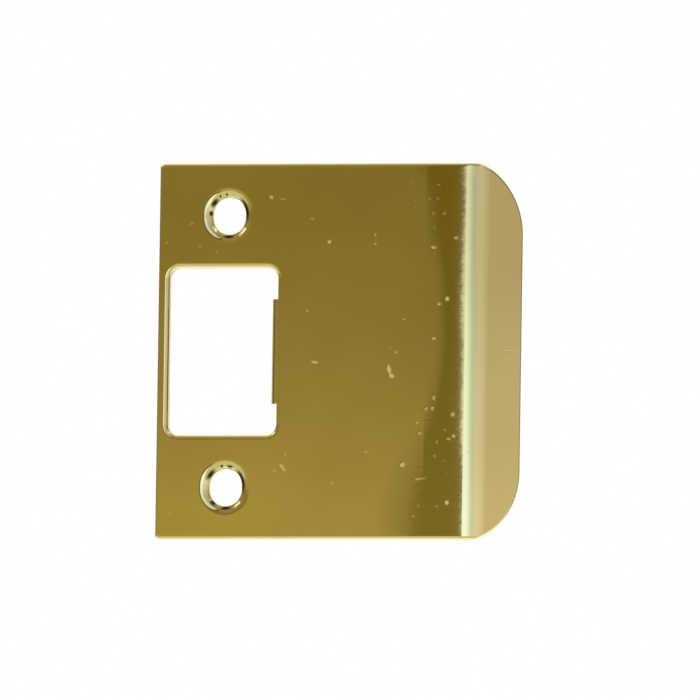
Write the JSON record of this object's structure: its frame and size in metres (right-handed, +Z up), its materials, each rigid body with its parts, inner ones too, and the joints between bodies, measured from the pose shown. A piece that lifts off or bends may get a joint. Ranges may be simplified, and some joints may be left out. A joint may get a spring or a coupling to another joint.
{
  "type": "door strike plate",
  "caption": "Polished brass strike plate with countersunk screw slots, a latch opening with a bent-back tang, and a long curved lip with round corners.",
  "frame": {"origin": "midway between the two screw slots, on the flat back face that meets the jamb", "axes": "+X from the screw line towards the lip, +Y from the door side into the jamb, +Z up along the jamb"},
  "size_m": [0.0552, 0.007, 0.0572],
  "materials": {
    "polished_brass": "polished"
  },
  "bodies": {
    "root": {"strike_plate": "polished_brass"}
  },
  "joints": []
}
